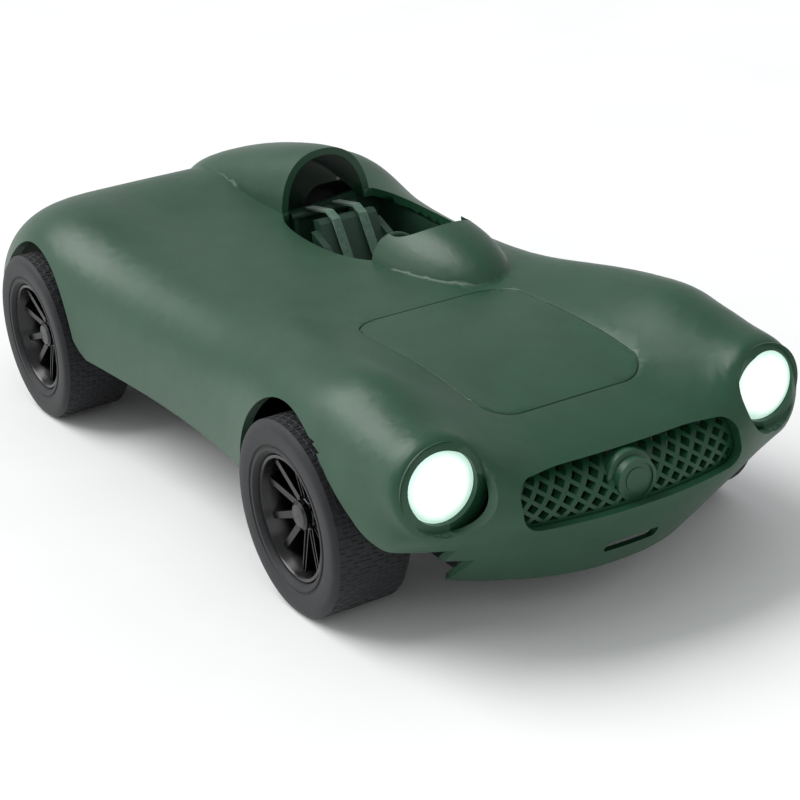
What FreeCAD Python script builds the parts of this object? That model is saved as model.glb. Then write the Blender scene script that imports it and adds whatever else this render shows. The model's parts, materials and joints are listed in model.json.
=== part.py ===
import FreeCAD, Part

import Sketcher
import math
import os
import re

# A rechargeable toy roadster, about 1:17. +X is forward, +Y is the car's left, +Z is up.
# The origin is on the floor under the middle of the car.

doc = FreeCAD.newDocument("toyRoadster")
vector = FreeCAD.Vector

# ---------------------------------------------------------------- driving dimensions

sizes = {
    # wheels and axles
    "rearAxleX": -78, "frontAxleX": 74, "axleZ": 23.5,
    "tyreRadius": 23.5, "tyreHalf": 10, "wheelY": 49, "rimRadius": 15.2,
    "axleRadius": 1.5, "runFit": 0.05, "hubRadius": 4.2, "hubOut": 5.3, "hubIn": 4,
    # body skin
    "noseX": 132.3, "skinBase": 9, "wall": 2,
    "deckTail": 46, "deckRear": 56, "deckArch": 53.2, "deckSeat": 51.8,
    "deckCowl": 51.8, "deckAxle": 51.5, "deckLamps": 48, "deckNose": 43.5,
    "wingTail": 44, "wingRear": 55, "wingRearAxle": 59.5, "wingArch": 56, "wingDoor": 55,
    "wingCowl": 55.5, "wingBonnet": 58, "wingAxle": 59.5, "wingFront": 61, "wingLamps": 56, "wingNose": 51,
    "halfTail": 50, "halfRear": 56.5, "halfRearAxle": 59, "halfArch": 56, "halfDoor": 54,
    "halfCowl": 55, "halfAxle": 59, "halfFront": 57.8, "halfLamps": 54, "halfNose": 51,
    "rockerZ": 25.5, "noseEdgeZ": 23,
    # front and rear arches
    "frontArchX": 72, "frontArchZ": 25, "frontArchRadius": 25.6, "rearArchRadius": 26.8,
    "archIn": 30, "tipIn": 41, "tipX": 105.5,
    # headlamps
    "lampX": 119.5, "lampY": 43, "lampZ": 42.8, "lensRadius": 8.3, "podRadius": 11.8,
    # grille and badge
    "grilleHalf": 29, "grilleLow": 31, "grilleTop": 42, "badgeRadius": 5,
    # cockpit
    "seatY": 22, "archX": -46.5, "cowlX": 4, "cockpitHalf": 19.5,
    "headY": 21.4, "headTop": 68.8, "headFall": 67.4, "headAxle": 64.8, "headRear": 61.5, "headDeck": 57.5, "headTail": 51,
    "cowlLong": 38.5, "cowlHalf": 15.6, "cowlBase": 48, "cowlTop": 63.8, "cowlRim": 19,
    "tubFloor": 27, "tubRear": -53.4, "tubFront": 9, "tubHalf": 20.5, "tubWall": 1.2,
    # chassis tray
    "trayZ": 9, "floorThick": 2.5, "trayRim": 16, "sillTop": 25.1, "shelfNose": 115,
    "trayRear": -112, "trayNose": 100, "sillRear": -50, "sillFront": 37, "sillHalf": 38, "sillOut": 50,
    "rearHalf": 33, "frontHalf": 27, "chinHalf": 35.5, "chinLow": 13,
    "batteryRear": -47, "batteryFront": 17, "batteryRight": -2, "batteryLeft": 34,
    "boardRear": 8, "boardFront": 34, "boardZ": 14.5,
    "switchX": -36, "switchY": -22, "portX": -22, "screwHead": 2.4, "screwShank": 1.1,
    "tailLampX": -124, "tailLampY": 36, "tailLampZ": 38, "tailLampRadius": 4.5,
    "seatX": -34, "seatTop": 52, "driverWheel": 6.5, "driverWheelX": -8, "driverWheelZ": 46,
    # steering
    "kingpinY": 34, "kingpinRadius": 1.3, "steerArm": 10, "linkPin": 1.2, "linkGap": 0.15,
    "servoX": 54, "knuckleRadius": 3.4,
    # drive train
    "axleTeeth": 30, "idlerSmallTeeth": 12, "idlerBigTeeth": 28, "pinionTeeth": 10,
    "coarseModule": 0.7, "fineModule": 0.5, "gearY": -7.5,
    "motorRadius": 7.6, "motorLong": 25,
}

sheet = doc.addObject("Spreadsheet::Sheet", "sizes")
for row, (name, value) in enumerate(sizes.items(), start=1):
    sheet.set("A%d" % row, name)
    sheet.set("B%d" % row, str(value))
    sheet.setAlias("B%d" % row, name)
doc.recompute()

# ---------------------------------------------------------------- helpers

made = []


def amount(text):
    """The value of a sum of products of sheet names and numbers, such as 'wheelY - 2*wall'."""
    if not isinstance(text, str):
        return float(text)
    total = 0.0
    sign = 1.0
    for word in text.split():
        if word in ("+", "-"):
            sign = 1.0 if word == "+" else -1.0
            continue
        product = sign
        for factor in word.split("*"):
            product *= float(sheet.get(factor)) if factor[0].isalpha() else float(factor)
        total += product
        sign = 1.0
    return total


def bind(thing, field, text):
    """Ties one property to the sheet, or sets it where the value is a plain number."""
    if isinstance(text, str) and re.search("[A-Za-z]", text):
        thing.setExpression(field, re.sub(r"[A-Za-z]\w*", r"sizes.\g<0>", text))
    else:
        thing.setExpression(field, str(amount(text)))


def place(thing, x, y, z, axis=(0, 0, 1), angle=0):
    """Turns a piece about its own origin and ties its position to the sheet."""
    thing.Placement = FreeCAD.Placement(vector(0, 0, 0), FreeCAD.Rotation(vector(*axis), angle))
    for field, text in (("x", x), ("y", y), ("z", z)):
        bind(thing, "Placement.Base." + field, text)
    return thing


def block(name, x, y, z):
    """A box given as three (low, high) spans."""
    box = doc.addObject("Part::Box", name)
    for field, span in (("Length", x), ("Width", y), ("Height", z)):
        bind(box, field, "%s - %s" % (span[1], negated(span[0])) if isinstance(span[0], str)
             or isinstance(span[1], str) else span[1] - span[0])
    return place(box, x[0], y[0], z[0])


def negated(text):
    """The same sum with the sign of each later term turned, to follow a minus sign."""
    if not isinstance(text, str):
        return text
    words = text.split()
    turned = {"+": "-", "-": "+"}
    return " ".join(turned.get(word, word) for word in words)


def rod(name, radius, length, x, y, z, axis="z"):
    """A cylinder that starts at a point and runs along +X, +Y or +Z."""
    cylinder = doc.addObject("Part::Cylinder", name)
    bind(cylinder, "Radius", radius)
    bind(cylinder, "Height", length)
    turn = {"x": ((0, 1, 0), 90), "y": ((1, 0, 0), -90), "z": ((0, 0, 1), 0)}[axis]
    return place(cylinder, x, y, z, *turn)


def joined(name, pieces):
    fuse = doc.addObject("Part::MultiFuse", name)
    fuse.Shapes = pieces
    fuse.Refine = True
    return fuse


def cut(name, base, tool):
    result = doc.addObject("Part::Cut", name)
    result.Base = base
    result.Tool = tool
    result.Refine = True
    return result


def common(name, first, second):
    overlap = doc.addObject("Part::MultiCommon", name)
    overlap.Shapes = [first, second]
    return overlap


def body(name):
    return doc.addObject("PartDesign::Body", name + "Body")


def sketchOn(part, name, role="XY_Plane", lift=0):
    sketch = part.newObject("Sketcher::SketchObject", name)
    plane = [item for item in part.Origin.OriginFeatures if item.Role == role][0]
    sketch.AttachmentSupport = [(plane, "")]
    sketch.MapMode = "FlatFace"
    bind(sketch, "AttachmentOffset.Base.z", lift)
    return sketch


def pin(sketch, geometry, position, x, y):
    """Holds one point of a sketch at sheet-driven coordinates."""
    for kind, text, line in (("DistanceX", x, -2), ("DistanceY", y, -1)):
        if abs(amount(text)) < 1e-7:
            sketch.addConstraint(Sketcher.Constraint("PointOnObject", geometry, position, line))
            continue
        index = sketch.addConstraint(Sketcher.Constraint(kind, -1, 1, geometry, position, amount(text)))
        if isinstance(text, str):
            bind(sketch, "Constraints[%d]" % index, text)


def outline(sketch, points):
    """A closed outline of straight lines through sheet-driven points."""
    here = [vector(amount(x), amount(y), 0) for x, y in points]
    first = sketch.GeometryCount
    for start, end in zip(here, here[1:] + here[:1]):
        sketch.addGeometry(Part.LineSegment(start, end), False)
    count = len(points)
    for index in range(count):
        following = first + (index + 1) % count
        sketch.addConstraint(Sketcher.Constraint("Coincident", first + index, 2, following, 1))
    for index, (x, y) in enumerate(points):
        pin(sketch, first + index, 1, x, y)


def ring(sketch, x, y, radius):
    """A circle whose centre and radius come from the sheet."""
    centre = vector(amount(x), amount(y), 0)
    index = sketch.addGeometry(Part.Circle(centre, vector(0, 0, 1), amount(radius)), False)
    pin(sketch, index, 3, x, y)
    limit = sketch.addConstraint(Sketcher.Constraint("Radius", index, amount(radius)))
    if isinstance(radius, str):
        bind(sketch, "Constraints[%d]" % limit, radius)


def rectangle(x, y):
    return [(x[0], y[0]), (x[1], y[0]), (x[1], y[1]), (x[0], y[1])]


def mirrored(points):
    """A half outline on the +Y side, closed with its mirror image."""
    other = [(x, side(-1, y)) for x, y in reversed(points)]
    return points + other


def pad(part, sketch, length):
    feature = part.newObject("PartDesign::Pad", sketch.Name + "Pad")
    feature.Profile = sketch
    bind(feature, "Length", length)
    doc.recompute()
    return feature


def pocket(part, sketch, length, upward):
    """Cuts from the sketch, upward or downward, and makes sure that it removed something."""
    doc.recompute()
    before = part.Shape.Volume
    feature = part.newObject("PartDesign::Pocket", sketch.Name + "Pocket")
    feature.Profile = sketch
    feature.Reversed = upward
    bind(feature, "Length", length)
    doc.recompute()
    if part.Shape.Volume > before - 1e-6:
        raise ValueError(sketch.Name + " cuts nothing")
    return feature


def spun(part, sketch):
    """A full turn about the sketch's vertical axis."""
    feature = part.newObject("PartDesign::Revolution", sketch.Name + "Turn")
    feature.Profile = sketch
    feature.ReferenceAxis = (sketch, ["V_Axis"])
    feature.Angle = 360
    doc.recompute()
    return feature


def around(part, feature, count):
    pattern = part.newObject("PartDesign::PolarPattern", feature.Name + "Ring")
    pattern.Originals = [feature]
    pattern.Axis = (feature.Profile[0], ["N_Axis"])
    pattern.Angle = 360
    pattern.Occurrences = count
    part.Tip = pattern
    doc.recompute()
    return pattern


def node(thing, name):
    thing.Label = name
    made.append(thing)
    return thing


def side(sign, size):
    """The same size on the left (+1) or mirrored on the right (-1)."""
    if sign > 0:
        return size
    return " ".join(flipped(size)) if isinstance(size, str) else -size


def flipped(text):
    words = text.split()
    turned = {"+": "-", "-": "+"}
    lead = [] if words[0] in turned else ["-1*" + words[0]]
    rest = words[1:] if lead else words
    return lead + [turned.get(word, word) for word in rest]


hands = (("left", 1), ("right", -1))
screwPlaces = ((-98, -20), (-98, 20), (94, -18), (94, 18))

# ---------------------------------------------------------------- wheels


def tyre(name):
    """A ring with rounded shoulders, its axis along local Z and its outer face at +Z."""
    part = body(name)
    sketch = sketchOn(part, name + "Section", "XZ_Plane")
    outer = [("tyreRadius - 1.4", "tyreHalf"), ("tyreRadius - 0.5", "tyreHalf - 0.4"),
             ("tyreRadius", "tyreHalf - 1.3")]
    half = [("rimRadius", "tyreHalf - 2"), ("rimRadius + 2", "tyreHalf - 0.5")] + outer
    lower = [(x, " ".join(flipped(y))) for x, y in reversed(half)]
    outline(sketch, half + lower)
    spun(part, sketch)
    return part


def rim(name, bore):
    """Barrel, hub and five split spokes, with the outer face at +Z."""
    part = body(name)
    section = sketchOn(part, name + "Section", "XZ_Plane")
    outline(section, [("rimRadius", "-1*tyreHalf + 2"), ("rimRadius", "tyreHalf - 2"),
                      ("rimRadius - 0.5", "tyreHalf - 1.3"), ("rimRadius - 1.3", "tyreHalf - 1.6"),
                      ("rimRadius - 1.5", "tyreHalf - 3.4"), ("rimRadius - 1.7", "-1*tyreHalf + 2")])
    spun(part, section)
    hub = sketchOn(part, name + "Hub", "XY_Plane", "-1*hubIn")
    ring(hub, 0, 0, "hubRadius")
    pad(part, hub, "hubIn + hubOut")
    spoke = sketchOn(part, name + "Spoke", "XY_Plane", "hubOut - 3.4")
    outline(spoke, [(2.6, -1.3), (6.4, -1.3), ("rimRadius - 1.2", -4.6), ("rimRadius - 0.9", -2.9),
                    (8.4, 0), ("rimRadius - 0.9", 2.9), ("rimRadius - 1.2", 4.6), (6.4, 1.3), (2.6, 1.3)])
    around(part, pad(part, spoke, 3), 5)
    hole = sketchOn(part, name + "Bore", "XY_Plane", "-1*hubIn")
    ring(hole, 0, 0, bore)
    pocket(part, hole, "hubIn + hubOut", True)
    return part


def wheelCap(name):
    """The low round cap over the hub."""
    part = body(name)
    section = sketchOn(part, name + "Section", "XZ_Plane")
    outline(section, [(0, 0), ("hubRadius - 0.7", 0), ("hubRadius - 0.7", 0.7), ("hubRadius - 1.5", 1.2),
                      (0, 1.4)])
    spun(part, section)
    return part


def wheels():
    for end, axleX, bore in (("front", "frontAxleX", "axleRadius + runFit"), ("rear", "rearAxleX", "axleRadius")):
        for hand, sign in hands:
            label = end + "_" + hand
            turn = ((1, 0, 0), -90 * sign)
            place(node(tyre(end + hand + "Tyre"), "tyre_" + label), axleX, side(sign, "wheelY"), "axleZ", *turn)
            place(node(rim(end + hand + "Rim", bore), "rim_" + label), axleX, side(sign, "wheelY"), "axleZ", *turn)
            place(node(wheelCap(end + hand + "Cap"), "wheel_cap_" + label), axleX,
                  side(sign, "wheelY + hubOut"), "axleZ", *turn)


wheels()

# ---------------------------------------------------------------- body skin


def smooth(value):
    value = min(1.0, max(0.0, value))
    return value * value * (3 - 2 * value)


def swell(distance, reach):
    return math.exp(-(distance / reach) ** 2)


def along(stations, x):
    """A smooth curve through (x, sheet name) stations."""
    points = [(station, amount(name)) for station, name in stations]
    slopes = []
    for index, (here, value) in enumerate(points):
        sides = []
        if index > 0:
            sides.append((here - points[index - 1][0], (value - points[index - 1][1]) / (here - points[index - 1][0])))
        if index < len(points) - 1:
            sides.append((points[index + 1][0] - here, (points[index + 1][1] - value) / (points[index + 1][0] - here)))
        if len(sides) == 2:
            (back, before), (ahead, after) = sides
            slopes.append((before * ahead + after * back) / (ahead + back))
        else:
            slopes.append(sides[0][1])
    x = min(points[-1][0], max(points[0][0], x))
    index = max(i for i in range(len(points) - 1) if points[i][0] <= x)
    (left, low), (right, high) = points[index], points[index + 1]
    span = right - left
    t = (x - left) / span
    return ((2 * t ** 3 - 3 * t ** 2 + 1) * low + (t ** 3 - 2 * t ** 2 + t) * span * slopes[index]
            + (3 * t ** 2 - 2 * t ** 3) * high + (t ** 3 - t ** 2) * span * slopes[index + 1])


deckLine = ((-131.5, "deckTail"), (-95, "deckRear"), (-55, "deckArch"), (0, "deckSeat"),
            (40, "deckCowl"), (74, "deckAxle"), (105, "deckLamps"), (131.5, "deckNose"))
wingLine = ((-131.5, "wingTail"), (-104, "wingRear"), (-78, "wingRearAxle"), (-45, "wingArch"),
            (-10, "wingDoor"), (25, "wingCowl"), (54, "wingBonnet"), (72, "wingAxle"),
            (90, "wingFront"), (112, "wingLamps"), (131.5, "wingNose"))
halfLine = ((-131.5, "halfTail"), (-104, "halfRear"), (-78, "halfRearAxle"), (-40, "halfArch"),
            (0, "halfDoor"), (38, "halfCowl"), (74, "halfAxle"), (96, "halfFront"),
            (118, "halfLamps"), (131.5, "halfNose"))


def skinPoint(lengthwise, crosswise, inset):
    """One point of the skin: lengthwise runs 0 at the nose to pi, crosswise 0 at the left to pi."""
    endFullness = 9
    x = math.cos(lengthwise)
    rise = math.sin(lengthwise)
    scale = (abs(x) ** endFullness + abs(rise) ** endFullness) ** (-1 / endFullness)
    x *= scale
    rise *= scale
    reach = amount("noseX") - inset
    squareness = (4.4 + 1.3 * swell(reach * x - amount("frontAxleX"), 32)
                  + swell(reach * x - amount("rearAxleX"), 32))
    y = math.cos(crosswise)
    arch = math.sin(crosswise)
    scale = (abs(y) ** squareness + abs(arch) ** squareness) ** (-1 / squareness)
    y *= scale
    arch *= scale
    if x > 0:
        bow = 0.125 * abs(y) ** 2.3
    else:
        bow = 0.14 * abs(y) ** 2.4
    lengthAt = reach * x * (1 - bow * x * x)
    across = (along(halfLine, lengthAt) - inset) * y
    towardWing = smooth((abs(across) - 16) / 28)
    height = (along(deckLine, lengthAt) * (1 - towardWing) + along(wingLine, lengthAt) * towardWing) - inset
    base = amount("skinBase") - 2 * inset
    z = base + (height - base) * rise * arch
    noseTuck = max(0.0, (33 - z) / 33) ** 1.3
    sideTuck = max(0.0, (38 - z) / 38) ** 2
    lengthAt *= 1 - noseTuck * ((0.18 + 0.32 * abs(y) ** 2.3) if x > 0 else 0.12)
    across *= 1 - 0.08 * sideTuck
    return roundLamp(lengthAt, across, z, inset)


def roundLamp(x, y, z, inset):
    """Pushes the skin out around a headlamp's axis, so that the wing swells into a pod."""
    middle, height, front = amount("lampY"), amount("lampZ"), amount("lampX")
    start, lowest, inner = 70, 20, 20
    if not start < x < front + 6 or abs(y) < inner or z < lowest:
        return vector(x, y, z)
    sign = 1 if y > 0 else -1
    offY, offZ = abs(y) - middle, z - height
    reach = max(0.5, math.hypot(offY, offZ))
    fade = smooth((x - start) / 30) * smooth((front + 6 - x) / 6)
    radius = (amount("podRadius") - inset) * fade
    blend = 5
    overlap = max(0.0, 1 - abs(reach - radius) / blend)
    wide = max(reach, radius) + overlap ** 2 * blend / 4 * fade
    return vector(x, sign * (middle + offY * wide / reach), height + offZ * wide / reach)


def evenSteps(wide, tall, power, count):
    """Angles that divide a rounded-box outline into equal lengths."""
    fine = 4000
    curve = []
    for step in range(fine + 1):
        angle = math.pi * step / fine
        across, up = math.cos(angle), math.sin(angle)
        scale = (abs(across) ** power + abs(up) ** power) ** (-1 / power)
        curve.append((wide * across * scale, tall * up * scale))
    lengths = [0.0]
    for before, after in zip(curve, curve[1:]):
        lengths.append(lengths[-1] + math.dist(before, after))
    angles = []
    index = 0
    for step in range(count + 1):
        target = lengths[-1] * step / count
        while index < fine - 1 and lengths[index + 1] < target:
            index += 1
        share = (target - lengths[index]) / (lengths[index + 1] - lengths[index])
        angles.append(math.pi * (index + min(1.0, share)) / fine)
    return angles


def ends(poles, degree):
    """Knot multiplicities of a curve that reaches its end poles."""
    return [degree + 1] + [1] * (poles - degree - 1) + [degree + 1]


def volume(inset):
    """The closed solid under the skin, inset by a wall."""
    rows, columns = 84, 54
    crosswise = evenSteps(57, 45, 4.9, columns)
    lengthwise = evenSteps(131, 45, 9, rows)
    grid = [[skinPoint(row, column, inset) for column in crosswise] for row in lengthwise]
    degree = 3
    surface = Part.BSplineSurface()
    surface.buildFromPolesMultsKnots(
        grid, ends(rows + 1, degree), ends(columns + 1, degree),
        list(range(rows + 2 - degree)), list(range(columns + 2 - degree)), False, False, degree, degree)
    skin = surface.toShape()
    floor = Part.Face(Part.Wire(Part.sortEdges(skin.Edges)[0]))
    shell = Part.Shell([skin, floor])
    solid = Part.Solid(shell)
    if solid.Volume < 0:
        solid.reverse()
    return solid


def spanBox(x, y, z):
    return Part.makeBox(x[1] - x[0], y[1] - y[0], z[1] - z[0], vector(x[0], y[0], z[0]))


def prism(edges, direction):
    return Part.Face(Part.Wire(edges)).extrude(direction)


def polygonEdges(points):
    return [Part.LineSegment(start, end).toShape() for start, end in zip(points, points[1:])]


def frontArch(near):
    """Round over the tyre, then swept down and forward to the wing's lower tip."""
    centreX, centreZ, radius = amount("frontArchX"), amount("frontArchZ"), amount("frontArchRadius")
    sweep = math.radians(43)
    top = vector(centreX, near, centreZ + radius)
    start = vector(centreX - radius, near, centreZ)
    shoulder = vector(centreX + radius * math.cos(sweep), near, centreZ + radius * math.sin(sweep))
    run = vector(102, near, 33.2)
    tip = vector(113, near, 28)
    edges = [Part.Arc(start, top, shoulder).toShape(), Part.LineSegment(shoulder, run).toShape(),
             Part.Arc(run, vector(106.5, near, 29.7), tip).toShape()]
    edges += polygonEdges([tip, vector(150, near, 28), vector(150, near, 0), vector(start.x, near, 0), start])
    return edges


def rearArch(near):
    """Round over the tyre, with a wide curve at the front foot."""
    centreX, centreZ, radius = amount("rearAxleX"), amount("axleZ"), amount("rearArchRadius")
    lift = math.radians(14)
    foot = vector(centreX + radius * math.cos(lift), near, centreZ + radius * math.sin(lift))
    top = vector(centreX, near, centreZ + radius)
    back = vector(centreX - radius, near, centreZ)
    sill = vector(-36, near, amount("rockerZ"))
    edges = [Part.Arc(back, top, foot).toShape(), Part.Arc(foot, vector(-46.5, near, 25.8), sill).toShape()]
    return edges + polygonEdges([sill, vector(-36, near, 0), vector(back.x, near, 0), back])


def archCutter():
    """All four wheel openings as one cutter."""
    inner, tip, wide = amount("archIn"), amount("tipIn"), 80
    pieces = []
    for sign in (1, -1):
        reach = vector(0, sign * (wide - inner), 0)
        rear = prism(rearArch(sign * inner), reach)
        front = prism(frontArch(sign * inner), reach).common(
            spanBox((0, amount("tipX")), (-wide, wide), (-10, 80)))
        outside = prism(frontArch(sign * tip), vector(0, sign * (wide - tip), 0))
        pieces += [rear, front, outside]
    return pieces


def ovalSection(x, half, top, low):
    """An upright rounded section, its middle a little under the deck."""
    count, squareness = 24, 2.3
    points = []
    for step in range(count):
        across, up = math.cos(2 * math.pi * step / count), math.sin(2 * math.pi * step / count)
        scale = (abs(across) ** squareness + abs(up) ** squareness) ** (-1 / squareness)
        points.append(vector(x, amount("headY") + half * across * scale, low + (top - low) * up * scale))
    oval = Part.BSplineCurve()
    oval.interpolate(points, PeriodicFlag=True)
    return Part.Wire([oval.toShape()])


def headrest(inset):
    """The teardrop fairing behind the seat; its hollow starts a little ahead, to open into the seat opening."""
    drop = 2.5
    stations = [(amount("archX"), 14.2, "headTop"), (-58, 14.8, "headFall"), (-72, 15.4, "headAxle"),
                (-87, 15, "headRear"), (-102, 13.4, "headDeck"), (-118, 9.5, "headTail")]
    if inset:
        stations.insert(0, (amount("archX") + 1, 14.2, "headTop"))
    sections = []
    for x, half, name in stations:
        low = along(deckLine, x) - drop
        sections.append(ovalSection(x, half - inset, amount(name) - inset, low))
    return Part.makeLoft(sections, True)


def cowl(inset):
    """The half dome ahead of the seat, open toward the driver."""
    scale = FreeCAD.Matrix()
    scale.scale(amount("cowlLong") - inset, amount("cowlHalf") - inset,
                amount("cowlTop") - amount("cowlBase") - inset)
    dome = Part.makeSphere(1).transformGeometry(scale)
    dome.translate(vector(amount("cowlX"), amount("seatY"), amount("cowlBase")))
    return dome.common(spanBox((amount("cowlX") - (1 if inset else 0), 60), (-5, 55), (44, 80)))


def lampSocket(sign, radius, start, end):
    return Part.makeCylinder(radius, end - start, vector(start, sign * amount("lampY"), amount("lampZ")),
                             vector(1, 0, 0))


def roundedSlot(halfWidth, low, top, radius, start, length):
    """A block along +X whose four long edges are rounded."""
    bar = Part.makeBox(length, 2 * halfWidth, top - low, vector(start, -halfWidth, low))
    longEdges = [edge for edge in bar.Edges if abs(edge.tangentAt(edge.FirstParameter).x) > 0.99]
    return bar.makeFillet(radius, longEdges)


def cockpitCutter():
    """The seat opening through the deck: straight sides, and a round front that scoops into the cowl."""
    half, middle, rear = amount("cockpitHalf"), amount("seatY"), amount("archX") + 0.25
    shoulder, foot, rim = amount("cowlX") - 16, amount("cowlX"), amount("cowlRim")
    low = 44
    near = [vector(rear, middle - 14.4, low), vector(rear + 8, middle - half + 1.6, low),
            vector(rear + 18, middle - half, low), vector(shoulder, middle - half, low),
            vector(foot - 4, middle - half + 3, low), vector(foot + 3, middle - half + 8.5, low)]
    nearSide = Part.BSplineCurve()
    nearSide.interpolate(near)
    farSide = Part.BSplineCurve()
    farSide.interpolate([vector(point.x, 2 * middle - point.y, low) for point in reversed(near)])
    scoop = Part.Arc(near[-1], vector(rim, middle, low), vector(near[-1].x, 2 * middle - near[-1].y, low))
    back = Part.LineSegment(vector(rear, 2 * middle - near[0].y, low), near[0])
    return prism([nearSide.toShape(), scoop.toShape(), farSide.toShape(), back.toShape()], vector(0, 0, 40))


def bonnetGroove(width, depth):
    """A fine line around the bonnet panel, sunk a little way into the skin."""
    half, rear, front = 22.5, 42, 105

    def panel(inset):
        face = Part.makeBox(front - rear - 2 * inset, 2 * (half - inset), 60,
                            vector(rear + inset, -half + inset, 30))
        upright = [edge for edge in face.Edges if abs(edge.tangentAt(edge.FirstParameter).z) > 0.99]
        return face.makeFillet(9 - inset, upright)
    return panel(0).cut(panel(width)).cut(volume(depth))


def shape(name, solid, label):
    """A sub-part whose shape is worked out in code from the sheet's sizes."""
    feature = doc.addObject("Part::Feature", name)
    feature.Shape = solid
    feature.Placement = FreeCAD.Placement()
    return node(feature, label)


def turnedTyres():
    """The room that each front tyre sweeps when it steers inward at its leading edge."""
    axleX, wheelY, pinY = amount("frontAxleX"), amount("wheelY"), amount("kingpinY")
    room = []
    for sign in (1, -1):
        for angle in (6, 12, 18):
            tyre = Part.makeCylinder(23.85, 20.7, vector(axleX, sign * wheelY - 10.35, amount("axleZ")),
                                     vector(0, 1, 0))
            tyre.rotate(vector(axleX, sign * pinY, 0), vector(0, 0, 1), -sign * angle)
            room.append(tyre)
    return room


def tailLampHoles():
    """A round hole through the tail for each rear lamp."""
    start = amount("tailLampX") - 16
    return [Part.makeCylinder(amount("tailLampRadius"), 20.1, vector(start, sign * amount("tailLampY"),
                                                                    amount("tailLampZ")), vector(1, 0, 0))
            for sign in (1, -1)]


def bodyShell(outside, inside):
    whole = outside.fuse([headrest(0), cowl(0)])
    lens, front = amount("lensRadius"), amount("lampX")
    lamps = [lampSocket(sign, lens, 90, 130) for sign in (1, -1)]
    lamps += [lampSocket(sign, lens + 1.6, front - 0.6, 140) for sign in (1, -1)]
    collars = [lampSocket(sign, lens + 1.6, front - 13.5, front - 3).cut(lampSocket(sign, lens, 90, 130))
               for sign in (1, -1)]
    collars += [lampSocket(sign, lens + 3.4, front - 4, front - 0.8).cut(lampSocket(sign, lens, 90, 130))
                for sign in (1, -1)]
    chin, chinLow = amount("chinHalf"), amount("chinLow")
    below = [spanBox((-150, 60), (-80, 80), (-10, amount("rockerZ"))),
             spanBox((60, 150), (-80, 80), (-10, chinLow)),
             spanBox((60, 150), (chin, 80), (-10, amount("noseEdgeZ"))),
             spanBox((60, 150), (-80, -chin), (-10, amount("noseEdgeZ"))),
             spanBox((60, 100), (-80, 80), (-10, amount("noseEdgeZ")))]
    grille = roundedSlot(amount("grilleHalf"), amount("grilleLow"), amount("grilleTop"), 4, 100, 50)
    intake = roundedSlot(7, 18.6, 21.6, 1, 100, 40)
    cutters = [inside, headrest(amount("wall")), cowl(amount("wall")), cockpitCutter(), grille, intake]
    shell = whole
    for cutter in cutters + lamps + below + archCutter() + turnedTyres() + tailLampHoles():
        shell = shell.cut(cutter)
    ribs = [spanBox((116, 121), (y - 0.5, y + 0.5), (18, 22.2)) for y in (-3.5, 0, 3.5)]
    shell = shell.fuse([piece.common(outside) for piece in collars + ribs])
    shell = shell.cut(bonnetGroove(0.5, 0.4))
    largest = max(shell.Solids, key=lambda solid: solid.Volume)
    if largest.Volume > 0.2 * outside.Volume:
        raise ValueError("the shell isn't hollow")
    return largest


def rearValance(outside):
    """The strip that follows the body below its rear edge."""
    strip = outside.common(spanBox((-140, -106), (-44, 44), (13.5, amount("rockerZ") - 0.2))).cut(volume(2.2))
    shape("rearValance", strip, "rear_valance")


def grilleMesh():
    """A curved plate of crossing bars behind the nose opening, with a solid rim."""
    half, low, top = amount("grilleHalf"), amount("grilleLow"), amount("grilleTop")
    outer = roundedSlot(half + 1.6, low - 1.6, top + 1.6, 5, 100, 50)
    window = roundedSlot(half - 0.6, low + 0.6, top - 0.6, 3.4, 99, 52)
    plate = outer.common(volume(2.35)).cut(volume(3.6))
    rim = plate.cut(window)
    pitch, wide = 4.2, 0.9
    bars = []
    for sign in (1, -1):
        for count in range(-10, 11):
            bar = spanBox((100, 150), (-wide / 2, wide / 2), (-14, 14))
            bar.rotate(vector(0, 0, 0), vector(1, 0, 0), 52 * sign)
            bar.translate(vector(0, count * pitch, (low + top) / 2))
            bars.append(bar)
    bars = bars[0].multiFuse(bars[1:])
    mesh = plate.common(window).common(bars)
    seatForBadge = Part.makeCylinder(amount("badgeRadius"), 30, vector(115, 0, low + 4.4), vector(1, 0, 0))
    whole = rim.fuse(mesh).cut(seatForBadge)
    return shape("grilleMesh", max(whole.Solids, key=lambda solid: solid.Volume), "grille_insert")


def badge():
    """A round boss with a raised ring in the middle of the grille."""
    disc = rod("badgeDisc", "badgeRadius", 2.4, 125.6, 0, "grilleLow + 4.4", "x")
    dish = rod("badgeDish", "badgeRadius - 0.8", 1, 127.6, 0, "grilleLow + 4.4", "x")
    button = rod("badgeButton", "badgeRadius - 2.2", 2, 125.8, 0, "grilleLow + 4.4", "x")
    node(joined("badgeWhole", [cut("badgeRing", disc, dish), button]), "badge")


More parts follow.
